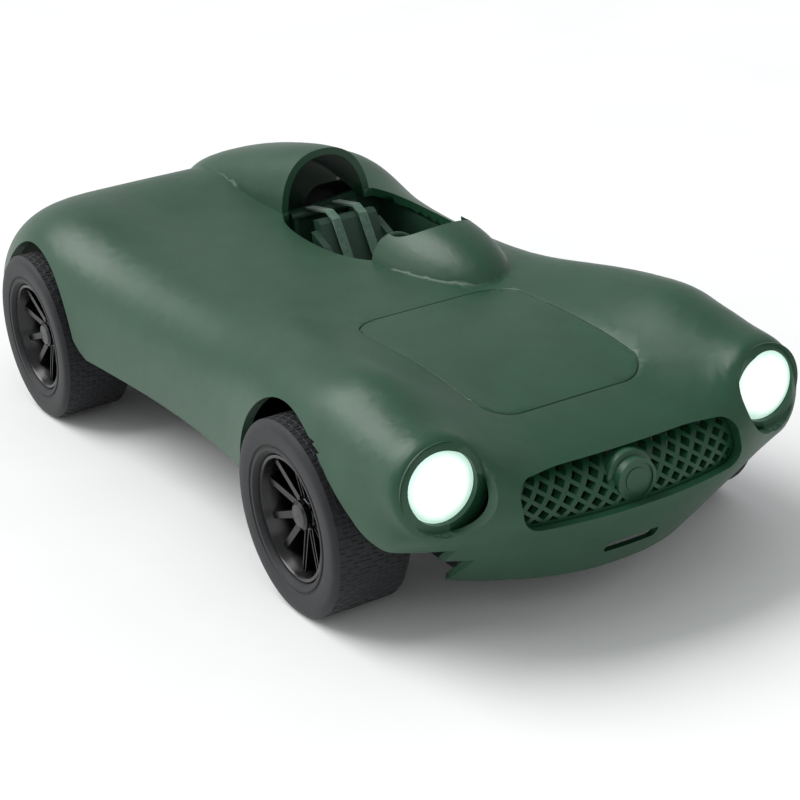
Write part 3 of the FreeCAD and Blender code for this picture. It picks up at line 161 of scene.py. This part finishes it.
def lensGlow(centreY, centreZ, radius):
    # clear polycarbonate over a lit lamp: white in the middle, pale green towards its moulded rim
    material, tree, shader = newMaterial("litLens", {
        "Roughness": 0.12, "IOR": 1.58, "Emission Strength": 0.85})
    place = addNode(tree, "ShaderNodeTexCoord")
    split = addNode(tree, "ShaderNodeSeparateXYZ", {}, {0: place.outputs["Object"]})
    side = addNode(tree, "ShaderNodeMath", {"operation": "ABSOLUTE"}, {0: split.outputs["Y"]})
    offY = addNode(tree, "ShaderNodeMath", {"operation": "SUBTRACT", 1: centreY}, {0: side.outputs[0]})
    offZ = addNode(tree, "ShaderNodeMath", {"operation": "SUBTRACT", 1: centreZ}, {0: split.outputs["Z"]})
    joined = addNode(tree, "ShaderNodeCombineXYZ", {}, {"X": offY.outputs[0], "Y": offZ.outputs[0]})
    reach = addNode(tree, "ShaderNodeVectorMath", {"operation": "LENGTH"}, {0: joined.outputs[0]})
    share = addNode(tree, "ShaderNodeMath", {"operation": "DIVIDE", 1: radius}, {0: reach.outputs["Value"]})
    ripple = addNode(tree, "ShaderNodeTexNoise", {"Scale": 1 / (2.5 * mm), "Detail": 1.0},
                     {"Vector": place.outputs["Object"]})
    wave = addNode(tree, "ShaderNodeMath", {"operation": "MULTIPLY_ADD", 1: 0.14},
                   {0: ripple.outputs["Fac"], 2: share.outputs[0]})
    glow = addNode(tree, "ShaderNodeValToRGB", {}, {"Fac": wave.outputs[0]})
    glow.color_ramp.elements[0].position = 0.6
    glow.color_ramp.elements[0].color = toLinear("#FFFFFF")
    glow.color_ramp.elements[1].position = 1.05
    glow.color_ramp.elements[1].color = toLinear("#B9D6C9")
    tree.links.new(glow.outputs["Color"], shader.inputs["Emission Color"])
    tree.links.new(glow.outputs["Color"], shader.inputs["Base Color"])
    return material


def reflectorWhite():
    # vacuum-metallised bowl, bright and nearly smooth
    material, tree, shader = newMaterial("brightBowl", {"Metallic": 0.9})
    place = mottle(tree, shader, "#DDE4E2", "#F2F5F4", 2 * mm)
    fine = grain(tree, shader, place, 0.8 * mm, 0.03 * mm)
    softRoughness(tree, shader, fine.outputs["Fac"], 0.12, 0.25)
    return material


def lampRed():
    # clear red acrylic with a prismatic back, so it is deep red with lighter cells
    material, tree, shader = newMaterial("redAcrylic", {
        "IOR": 1.49, "Coat Weight": 0.5, "Coat Roughness": 0.05})
    place = addNode(tree, "ShaderNodeTexCoord")
    cells = addNode(tree, "ShaderNodeTexVoronoi", {"Scale": 1 / (1.1 * mm)},
                    {"Vector": place.outputs["Object"]})
    ramp = addNode(tree, "ShaderNodeValToRGB", {}, {"Fac": cells.outputs["Distance"]})
    ramp.color_ramp.elements[0].color = toLinear("#A01216")
    ramp.color_ramp.elements[1].color = toLinear("#4A0508")
    tree.links.new(ramp.outputs["Color"], shader.inputs["Base Color"])
    softRoughness(tree, shader, cells.outputs["Distance"], 0.12, 0.22)
    return material


def metal(name, dark, light, low, high, spacing):
    # a metal surface with fine drawn or turned marks
    material, tree, shader = newMaterial(name, {"Metallic": 1.0})
    place = mottle(tree, shader, dark, light, spacing * 6)
    fine = grain(tree, shader, place, spacing, 0.01 * mm, 3.0)
    softRoughness(tree, shader, fine.outputs["Fac"], low, high)
    return material


def plainPlastic(name, dark, light, low, high, spacing):
    # moulded plastic in its own colour, with a light grain
    material, tree, shader = newMaterial(name, {"IOR": 1.5})
    place = mottle(tree, shader, dark, light, spacing * 12)
    fine = grain(tree, shader, place, spacing, 0.02 * mm)
    softRoughness(tree, shader, fine.outputs["Fac"], low, high)
    return material


def webbing():
    # woven polyester belt: fine rows drawn across the strap, with a soft fibre sheen
    material, tree, shader = newMaterial("beltWebbing", {
        "Roughness": 0.8, "Sheen Weight": 0.4, "Sheen Roughness": 0.4})
    place = mottle(tree, shader, "#4E6A5C", "#5C7B6B", 1.5 * mm)
    rows = addNode(tree, "ShaderNodeTexWave", {
        "wave_type": "BANDS", "bands_direction": "Y", "Scale": 1 / (0.5 * mm) / 6, "Distortion": 0.6},
        {"Vector": place.outputs["Object"]})
    bump = addNode(tree, "ShaderNodeBump", {"Strength": 0.6, "Distance": 0.06 * mm},
                   {"Height": rows.outputs["Fac"]})
    tree.links.new(bump.outputs["Normal"], shader.inputs["Normal"])
    return material


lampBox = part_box("headlight_lens_left")
lampCentreY = (lampBox[0][1] + lampBox[1][1]) / 2
lampCentreZ = (lampBox[0][2] + lampBox[1][2]) / 2
lampRadius = (lampBox[1][2] - lampBox[0][2]) / 2

finishes = {
    "shell_green": shellPaint(), "valance_green": shellPaint(), "cabin_green": cabinPlastic(),
    "tyre_rubber": tyreRubber(), "rim_black": rimBlack(), "tray_black": trayBlack(),
    "lens_clear": lensGlow(lampCentreY, lampCentreZ, lampRadius), "lamp_white": reflectorWhite(),
    "lamp_red": lampRed(), "steel": metal("platedSteel", "#9A9C9F", "#B9BBBD", 0.28, 0.42, 0.2 * mm),
    "gear_white": plainPlastic("acetal", "#DAD7CC", "#E6E3D9", 0.3, 0.4, 0.3 * mm),
    "motor_steel": metal("nickelledCan", "#A5A5A3", "#C2C1BD", 0.22, 0.36, 0.3 * mm),
    "battery_wrap": plainPlastic("shrinkSleeve", "#123A78", "#174590", 0.22, 0.34, 0.5 * mm),
    "board_green": plainPlastic("solderMask", "#0E4A26", "#125A2F", 0.3, 0.4, 0.2 * mm),
    "brass": metal("turnedBrass", "#A98444", "#C6A058", 0.25, 0.38, 0.15 * mm), "belt_grey": webbing(),
}
slotOf = {part["node"]: part["material_slot"] for part in record["subparts"]}
for name, item in nodes.items():
    item.data.materials.clear()
    item.data.materials.append(finishes[slotOf[name]])
print("materials made:", len(finishes))


def finished(name, mesh, body, slot, replaced, smoothAngle):
    # a smooth-shaded piece with edges kept sharp past that many degrees
    piece = bpy.data.objects.new(name, mesh)
    bpy.context.scene.collection.objects.link(piece)
    mesh.materials.clear()
    mesh.materials.append(finishes[slot])
    for face in mesh.polygons:
        face.use_smooth = True
    mesh.set_sharp_from_angle(angle=math.radians(smoothAngle))
    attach(piece, body)
    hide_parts(*replaced)
    return piece


def meshFrom(bm, name):
    bmesh.ops.remove_doubles(bm, verts=bm.verts, dist=1e-7)
    bmesh.ops.recalc_face_normals(bm, faces=bm.faces)
    mesh = bpy.data.meshes.new(name)
    bm.to_mesh(mesh)
    bm.free()
    return mesh


def welded(node):
    # a copy of a CAD node's loose triangles, merged so that it shades smoothly
    bm = bmesh.new()
    bm.from_mesh(nodes[node].data)
    bmesh.ops.remove_doubles(bm, verts=bm.verts, dist=2e-5)
    bmesh.ops.dissolve_degenerate(bm, edges=bm.edges, dist=1e-7)
    mesh = bpy.data.meshes.new(node + "Copy")
    bm.to_mesh(mesh)
    bm.free()
    return mesh


lampSeat = {"x": 119.5 * mm, "inner": 8.25 * mm, "outer": 10.1 * mm, "thick": 0.5 * mm,
            "innerBack": 3.2 * mm, "outerBack": 1.6 * mm}
chin = {"inner": 27 * mm, "outer": 35.5 * mm, "low": 13.05 * mm, "top": 24 * mm, "wall": 1.5 * mm,
        "known": (19 * mm, 24 * mm, 29 * mm), "sink": 0.06 * mm, "rows": 12, "columns": 8}


def addSeatRing(bm, centreY):
    # the sloping green wall between a lens and the rim of its round opening
    inner, outer, thick = lampSeat["inner"], lampSeat["outer"], lampSeat["thick"]
    innerX, outerX = -lampSeat["innerBack"], -lampSeat["outerBack"]
    points = [(inner, innerX), (outer, outerX), (outer, outerX - thick), (inner, innerX - thick)]
    centre = (lampSeat["x"], centreY, lampCentreZ)
    verts = [bm.verts.new((lampSeat["x"] + depth, centreY, lampCentreZ + radius))
             for radius, depth in points]
    edges = [bm.edges.new((verts[k], verts[(k + 1) % len(verts)])) for k in range(len(verts))]
    bmesh.ops.spin(bm, geom=verts + edges, cent=centre, axis=(1, 0, 0), angle=2 * math.pi, steps=64,
                   use_merge=True)


def chinEnd(bm, tree, side):
    # the outer end of the chin: the skin carried on outward by a curve through three known places
    known, rows, columns = chin["known"], chin["rows"], chin["columns"]
    grid = []
    for row in range(rows + 1):
        height = chin["low"] + (chin["top"] - chin["low"]) * row / rows
        reach = [tree.ray_cast(Vector((0.2, side * y, height)), Vector((-1, 0, 0)))[0] for y in known]
        line = []
        for column in range(columns + 1):
            y = chin["inner"] + (chin["outer"] - chin["inner"]) * column / columns
            x = 0
            for k, here in enumerate(known):
                others = [other for other in known if other != here]
                x += reach[k].x * math.prod((y - other) / (here - other) for other in others)
            line.append(bm.verts.new((x - chin["sink"], side * y, height)))
        grid.append(line)
    faces = []
    for low, high in zip(grid, grid[1:]):
        for k in range(columns):
            faces.append(bm.faces.new((low[k], low[k + 1], high[k + 1], high[k])))
    bmesh.ops.recalc_face_normals(bm, faces=faces)
    if faces[0].normal.x < 0:
        bmesh.ops.reverse_faces(bm, faces=faces)
    bmesh.ops.solidify(bm, geom=faces, thickness=chin["wall"])


def makeShell():
    # the CAD skin with the ends of its chin and the seats of its lamps added
    mesh = welded("body_shell")
    bm = bmesh.new()
    bm.from_mesh(mesh)
    tree = BVHTree.FromBMesh(bm)
    extra = bmesh.new()
    for side in (1, -1):
        chinEnd(extra, tree, side)
    for side in (1, -1):
        addSeatRing(extra, side * lampCentreY)
    bmesh.ops.recalc_face_normals(extra, faces=extra.faces)
    extraMesh = bpy.data.meshes.new("chinEndsAndLampSeats")
    extra.to_mesh(extraMesh)
    extra.free()
    bm.from_mesh(extraMesh)
    bm.to_mesh(mesh)
    bm.free()
    piece = finished("shell_skin", mesh, "car_body", "shell_green", ["body_shell"], 24)
    even = piece.modifiers.new("evenShading", "WEIGHTED_NORMAL")
    even.keep_sharp = True
    even.weight = 80
    return piece


makeShell()
print("shell done")


badgeSeat = {"x": 125.55 * mm, "radius": 6.1 * mm, "thick": 3.6 * mm, "chamfer": 0.3 * mm}


def makeGrille():
    # the crossing bars with a round platform behind the emblem
    low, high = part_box("badge")
    middle = (low[2] + high[2]) / 2
    bm = bmesh.new()
    bm.from_mesh(welded("grille_insert"))
    disc = bmesh.new()
    outer, thick, front = badgeSeat["radius"], badgeSeat["thick"], badgeSeat["x"]
    chamfer = badgeSeat["chamfer"]
    points = [(0, 0), (outer - chamfer, 0), (outer, -chamfer), (outer, -thick), (0, -thick)]
    verts = [disc.verts.new((front + depth, 0, middle + radius)) for radius, depth in points]
    edges = [disc.edges.new(pair) for pair in zip(verts, verts[1:])]
    bmesh.ops.spin(disc, geom=verts + edges, cent=(front, 0, middle), axis=(1, 0, 0), angle=2 * math.pi,
                   steps=48, use_merge=True)
    mesh = meshFrom(disc, "platform")
    bm.from_mesh(mesh)
    whole = bpy.data.meshes.new("grille_bars")
    bm.to_mesh(whole)
    bm.free()
    return finished("grille_bars", whole, "car_body", "shell_green", ["grille_insert"], 30)


makeGrille()
print("grille done")


tyre = {"outer": 23.5 * mm, "inner": 15.2 * mm, "half": 10 * mm, "steps": 132, "rows": 11,
        "shoulder": 1.3 * mm, "crown": 0.06 * mm, "rib": 0.16 * mm, "groove": 0.14 * mm}


def bodyOf(label):
    return "rear_wheels" if label.startswith("rear") else label + "_wheel"


def wheelCentre(label):
    low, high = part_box("tyre_" + label)
    return Vector([(a + b) / 2 for a, b in zip(low, high)])


def facing(label):
    # local +Z points out of the car
    sign = 1 if label.endswith("left") else -1
    return Matrix.Translation(wheelCentre(label)) @ Matrix.Rotation(-sign * math.pi / 2, 4, "X")


def spinProfile(bm, points, steps):
    # a full turn of an open or closed (radius, height) profile about local Z
    verts = [bm.verts.new((radius, 0, height)) for radius, height in points]
    edges = [bm.edges.new(pair) for pair in zip(verts, verts[1:])]
    bmesh.ops.spin(bm, geom=verts + edges, cent=(0, 0, 0), axis=(0, 0, 1), angle=2 * math.pi, steps=steps,
                   use_merge=True)


def makeTyre(label):
    outer, inner, half = tyre["outer"], tyre["inner"], tyre["half"]
    # side wall from the bead outward, with one moulded ring
    wall = [(inner, half - 2.2 * mm), (inner + 0.4 * mm, half - 0.9 * mm),
            (inner + 1.0 * mm, half - 0.35 * mm), (inner + 1.7 * mm, half - 0.3 * mm),
            (inner + 1.9 * mm, half - 0.62 * mm),
            (inner + 2.3 * mm, half - 0.62 * mm), (inner + 2.6 * mm, half - 0.25 * mm),
            (inner + 4.4 * mm, half), (inner + 6.2 * mm, half), (outer - 1.5 * mm, half - 0.08 * mm),
            (outer - 0.9 * mm, half - 0.35 * mm), (outer - 0.4 * mm, half - 0.8 * mm)]
    rows = tyre["rows"]
    span = half - tyre["shoulder"]
    tread = [(outer - tyre["crown"] * (2 * k / rows - 1) ** 2, span - 2 * span * k / rows)
             for k in range(rows + 1)]
    profile = wall + tread + [(radius, -height) for radius, height in reversed(wall)]
    bm = bmesh.new()
    spinProfile(bm, profile + profile[:1], tyre["steps"])
    bmesh.ops.remove_doubles(bm, verts=bm.verts, dist=1e-7)
    bmesh.ops.recalc_face_normals(bm, faces=bm.faces)
    # tread blocks: two faces in three sink a little and leave ribs between them
    blocks = []
    for face in bm.faces:
        centre = face.calc_center_median()
        reach = math.hypot(centre.x, centre.y)
        if reach < outer - 0.15 * mm or abs(centre.z) > span:
            continue
        row = int((centre.z + span) / (2 * span / rows))
        step = int(round(math.atan2(centre.y, centre.x) / (2 * math.pi) * tyre["steps"]))
        if (step + row) % 3:
            blocks.append(face)
    bmesh.ops.inset_individual(bm, faces=blocks, thickness=tyre["rib"], depth=-tyre["groove"],
                               use_even_offset=True)
    bmesh.ops.transform(bm, matrix=facing(label), verts=bm.verts)
    mesh = meshFrom(bm, "tyre_tread_" + label)
    return finished("tyre_tread_" + label, mesh, bodyOf(label), "tyre_rubber", ["tyre_" + label], 32)


labels = [end + "_" + hand for end in ("front", "rear") for hand in ("left", "right")]
for label in labels:
    makeTyre(label)
print("tyres done")


rim = {"outer": 15.15 * mm, "half": 8 * mm, "lip": 0.9 * mm, "hub": 4.1 * mm, "spokes": 5,
       "depth": 2.4 * mm, "hubFace": 4.4 * mm, "lipFace": 6.6 * mm, "start": (2.6 * mm, 0.7 * mm),
       "end": (13.9 * mm, 4.1 * mm), "widths": (1.9 * mm, 1.5 * mm), "boltCircle": 3.75 * mm}


def addBar(bm, start, end, widths, depth, top):
    # one tapered spoke arm with a sunk channel along its face
    made = bmesh.ops.create_cube(bm, size=1)
    verts = made["verts"]
    direction = (end - start).normalized()
    across = Vector((-direction.y, direction.x, 0))
    for vert in verts:
        far = vert.co.x > 0
        width = widths[1] if far else widths[0]
        base = end if far else start
        height = top[1] if far else top[0]
        vert.co = base + across * (width / 2 if vert.co.y > 0 else -width / 2) + Vector(
            (0, 0, height if vert.co.z > 0 else height - depth))
    faces = list({face for vert in verts for face in vert.link_faces})
    bmesh.ops.recalc_face_normals(bm, faces=faces)
    front = max(faces, key=lambda face: face.normal.z)
    bmesh.ops.inset_individual(bm, faces=[front], thickness=0.32 * mm, depth=0, use_even_offset=True)
    bmesh.ops.inset_individual(bm, faces=[front], thickness=0.12 * mm, depth=-0.45 * mm,
                               use_even_offset=True)


def makeRim(label):
    # barrel, five split spokes, and a hub with five small bolt heads
    outer, half, lip = rim["outer"], rim["half"], rim["lip"]
    bm = bmesh.new()
    barrel = [(outer, -half), (outer, half - 0.3 * mm), (outer - 0.2 * mm, half + 0.55 * mm),
              (outer - lip, half + 0.6 * mm), (outer - lip - 0.25 * mm, half + 0.2 * mm),
              (outer - lip - 0.4 * mm, half - 1.4 * mm), (outer - 1.7 * mm, half - 2 * mm),
              (outer - 1.75 * mm, -half), (outer, -half)]
    spinProfile(bm, barrel, 96)
    for k in range(rim["spokes"]):
        turn = Matrix.Rotation(2 * math.pi * k / rim["spokes"], 3, "Z")
        for sign in (1, -1):
            start = turn @ Vector((rim["start"][0], sign * rim["start"][1], 0))
            end = turn @ Vector((rim["end"][0], sign * rim["end"][1], 0))
            addBar(bm, start, end, rim["widths"], rim["depth"], (rim["hubFace"], rim["lipFace"]))
    hub = [(1.4 * mm, -4 * mm), (rim["hub"], -4 * mm), (rim["hub"], 4.2 * mm),
           (rim["hub"] - 0.4 * mm, 4.7 * mm), (3.4 * mm, 4.7 * mm), (3.2 * mm, 4.3 * mm),
           (1.4 * mm, 4.3 * mm), (1.4 * mm, -4 * mm)]
    spinProfile(bm, hub, 48)
    for k in range(rim["spokes"]):
        angle = 2 * math.pi * (k + 0.5) / rim["spokes"]
        across = rim["boltCircle"]
        spot = Matrix.Translation((across * math.cos(angle), across * math.sin(angle), 4.8 * mm))
        bmesh.ops.create_cone(bm, cap_ends=True, segments=12, radius1=0.42 * mm, radius2=0.36 * mm,
                              depth=0.7 * mm, matrix=spot)
    bmesh.ops.transform(bm, matrix=facing(label), verts=bm.verts)
    mesh = meshFrom(bm, "rim_spoked_" + label)
    return finished("rim_spoked_" + label, mesh, bodyOf(label), "rim_black", ["rim_" + label], 35)


for label in labels:
    makeRim(label)
print("rims done")


def makeStage():
    # a matt white paper floor
    bm = bmesh.new()
    bmesh.ops.create_grid(bm, x_segments=1, y_segments=1, size=6)
    mesh = bpy.data.meshes.new("floor")
    bm.to_mesh(mesh)
    bm.free()
    floor = bpy.data.objects.new("floor", mesh)
    bpy.context.scene.collection.objects.link(floor)
    material, tree, shader = newMaterial("paperFloor", {"Roughness": 0.7})
    place = mottle(tree, shader, "#F3F3F3", "#F6F6F6", 60 * mm)
    grain(tree, shader, place, 1.2 * mm, 0.002 * mm)
    mesh.materials.append(material)


light = {"skyStrength": 0.56, "sunStrength": 2.3, "sunSpread": 42, "sideEnergy": 1.6, "frontEnergy": 0.8}


def aim(item, place, target):
    item.location = place
    item.rotation_euler = (Vector(target) - Vector(place)).to_track_quat("-Z", "Y").to_euler()
    bpy.context.scene.collection.objects.link(item)


def makeLight():
    world = bpy.data.worlds.new("softSky")
    bpy.context.scene.world = world
    world.use_nodes = True
    sky = world.node_tree.nodes["Background"]
    sky.inputs["Color"].default_value = toLinear("#F7F9FA")
    sky.inputs["Strength"].default_value = light["skyStrength"]
    sun = bpy.data.lights.new("overheadDiffuser", "SUN")
    sun.energy = light["sunStrength"]
    sun.angle = math.radians(light["sunSpread"])
    aim(bpy.data.objects.new("overheadDiffuser", sun), (-0.5, -0.42, 0.79), (0, 0, 0))
    for name, place, size, energy in (("sideSoftbox", (-0.55, -0.85, 0.35), 0.7, light["sideEnergy"]),
                                      ("frontSoftbox", (0.9, -0.2, 0.5), 0.5, light["frontEnergy"])):
        lamp = bpy.data.lights.new(name, "AREA")
        lamp.shape = "SQUARE"
        lamp.size = size
        lamp.energy = energy
        aim(bpy.data.objects.new(name, lamp), place, (0, 0, 0.03))


view = {"place": (0.4725, -0.2489, 0.2317), "lens": 97.18, "sensor": 36,
        "right": (0.51058711, 0.85695156, -0.07024835), "up": (-0.29413651, 0.25085347, 0.92225607),
        "back": (0.80795082, -0.45022945, 0.38014329)}


def makeCamera():
    data = bpy.data.cameras.new("camera")
    data.lens = view["lens"]
    data.sensor_width = view["sensor"]
    data.clip_start = 0.01
    camera = bpy.data.objects.new("camera", data)
    turned = Matrix((view["right"], view["up"], view["back"])).transposed().to_4x4()
    camera.matrix_world = Matrix.Translation(view["place"]) @ turned
    bpy.context.scene.collection.objects.link(camera)
    bpy.context.scene.camera = camera


makeStage()
makeLight()
makeCamera()
bpy.context.scene.view_settings.view_transform = "Standard"
print("stage, light and camera done")
